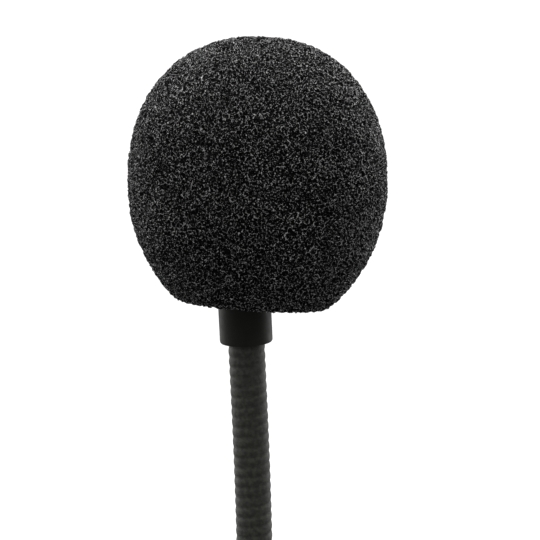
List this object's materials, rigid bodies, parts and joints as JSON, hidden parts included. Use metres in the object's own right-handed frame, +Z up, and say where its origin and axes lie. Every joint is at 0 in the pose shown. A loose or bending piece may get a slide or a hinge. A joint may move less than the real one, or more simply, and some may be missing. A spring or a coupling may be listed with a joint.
{
  "type": "headset microphone",
  "caption": "Stage headset microphone: sprung wire neckband with ear hooks and temple pads, swivelling gooseneck boom and a large foam windscreen.",
  "frame": {"origin": "middle of the footprint on the table top", "axes": "+Z up along the raised boom, -Y the way the wearer faces, +X towards the wearer's left side, where the boom is"},
  "size_m": [0.166, 0.158, 0.2031],
  "materials": {
    "black_plastic": "satin",
    "black_rubber": "matte",
    "foam": "matte open-cell foam",
    "black_wire": "satin black",
    "steel": "satin",
    "brass": "satin",
    "aluminium": "satin",
    "nylon": "matte",
    "circuit_board": "satin",
    "cloth": "matte"
  },
  "bodies": {
    "adjuster": {"adjuster_front_shell": "black_plastic", "adjuster_rear_shell": "black_plastic", "friction_pad": "black_rubber", "adjuster_screw_left": "steel", "adjuster_screw_right": "steel"},
    "slider_left": {"slider_rod_left": "black_wire", "slider_shoe_left": "nylon"},
    "slider_right": {"slider_rod_right": "black_wire", "slider_shoe_right": "nylon"},
    "frame_left": {"frame_wire_left": "black_wire", "ear_sleeve_left": "black_rubber", "temple_shell_left": "black_plastic", "temple_cover_left": "black_plastic", "temple_pad_left": "black_rubber", "temple_screw_left_front": "steel", "temple_screw_left_rear": "steel", "spring_washer": "steel", "friction_washer": "nylon", "cable_socket": "black_plastic", "socket_contact_tip": "brass", "socket_contact_sleeve": "brass", "socket_lead": "black_rubber"},
    "frame_right": {"frame_wire_right": "black_wire", "ear_sleeve_right": "black_rubber", "temple_shell_right": "black_plastic", "temple_cover_right": "black_plastic", "temple_pad_right": "black_rubber", "temple_screw_right_front": "steel", "temple_screw_right_rear": "steel"},
    "boom_arm": {"swivel_hub": "black_plastic", "swivel_cap": "black_plastic", "boom_set_screw": "steel", "pivot_tube": "brass", "pivot_nut": "steel", "base_ferrule": "steel", "gooseneck_coil_1": "steel", "gooseneck_sheath_1": "black_rubber", "signal_lead": "black_rubber"},
    "neck_1": {"gooseneck_coil_2": "steel", "gooseneck_sheath_2": "black_rubber"},
    "neck_2": {"gooseneck_coil_3": "steel", "gooseneck_sheath_3": "black_rubber"},
    "neck_3": {"gooseneck_coil_4": "steel", "gooseneck_sheath_4": "black_rubber"},
    "neck_4": {"gooseneck_coil_5": "steel", "gooseneck_sheath_5": "black_rubber"},
    "neck_5": {"gooseneck_coil_6": "steel", "gooseneck_sheath_6": "black_rubber"},
    "mic_head": {"gooseneck_coil_7": "steel", "gooseneck_sheath_7": "black_rubber", "capsule_housing": "black_plastic", "tip_ferrule": "brass", "capsule_boot": "black_rubber", "capsule_can": "aluminium", "capsule_board": "circuit_board", "grille_cloth": "cloth", "front_grille": "black_plastic"},
    "windscreen": {"foam_windscreen": "foam"}
  },
  "joints": [
    {"name": "band_size_left", "type": "slide", "parent": "adjuster", "child": "slider_left", "axis": [1, 0, 0], "range_m": [0, 0.012]},
    {"name": "band_size_right", "type": "slide", "parent": "adjuster", "child": "slider_right", "axis": [-1, 0, 0], "range_m": [0, 0.012]},
    {"name": "band_spread_left", "type": "hinge", "parent": "slider_left", "child": "frame_left", "pos_m": [0.00971, 0.06949, 0.0045], "axis": [0, 0, 1], "range_deg": [-2, 9], "stiffness_Nm_per_rad": 0.9},
    {"name": "band_spread_right", "type": "hinge", "parent": "slider_right", "child": "frame_right", "pos_m": [-0.03179, 0.07569, 0.0045], "axis": [0, 0, -1], "range_deg": [-2, 9], "stiffness_Nm_per_rad": 0.9},
    {"name": "boom_swing", "type": "hinge", "parent": "frame_left", "child": "boom_arm", "pos_m": [0.06166, -0.05541, 0.0098], "axis": [1, 0, 0], "range_deg": [-30, 120]},
    {"name": "neck_bend_fore", "type": "hinge", "parent": "boom_arm", "child": "neck_1", "pos_m": [0.06606, -0.05541, 0.0538], "axis": [1, 0, 0], "range_deg": [-20, 20], "deforming": ["signal_lead"]},
    {"name": "neck_bend_side", "type": "hinge", "parent": "neck_1", "child": "neck_2", "pos_m": [0.06606, -0.05585, 0.07179], "axis": [0, -0.9997, -0.0244], "range_deg": [-20, 20]},
    {"name": "neck_bend_fore_2", "type": "hinge", "parent": "neck_2", "child": "neck_3", "pos_m": [0.06587, -0.05629, 0.08979], "axis": [0.9999, -0.0003, 0.0105], "range_deg": [-20, 20]},
    {"name": "neck_bend_side_2", "type": "hinge", "parent": "neck_3", "child": "neck_4", "pos_m": [0.06568, -0.05713, 0.10777], "axis": [0.0002, -0.9989, -0.0471], "range_deg": [-20, 20]},
    {"name": "neck_bend_fore_3", "type": "hinge", "parent": "neck_4", "child": "neck_5", "pos_m": [0.06524, -0.05798, 0.12574], "axis": [0.9997, -0.0009, 0.0244], "range_deg": [-20, 20]},
    {"name": "neck_bend_side_3", "type": "hinge", "parent": "neck_5", "child": "mic_head", "pos_m": [0.06481, -0.05924, 0.14369], "axis": [0.0008, -0.9976, -0.0698], "range_deg": [-20, 20]},
    {"name": "windscreen_pull", "type": "slide", "parent": "mic_head", "child": "windscreen", "axis": [-0.0453, -0.0697, 0.9965], "range_m": [0, 0.02]}
  ],
  "couplings": [
    {"joint": "neck_bend_fore_2", "follows": "neck_bend_fore", "ratio": 1},
    {"joint": "neck_bend_fore_3", "follows": "neck_bend_fore", "ratio": 1},
    {"joint": "neck_bend_side_2", "follows": "neck_bend_side", "ratio": 1},
    {"joint": "neck_bend_side_3", "follows": "neck_bend_side", "ratio": 1}
  ]
}
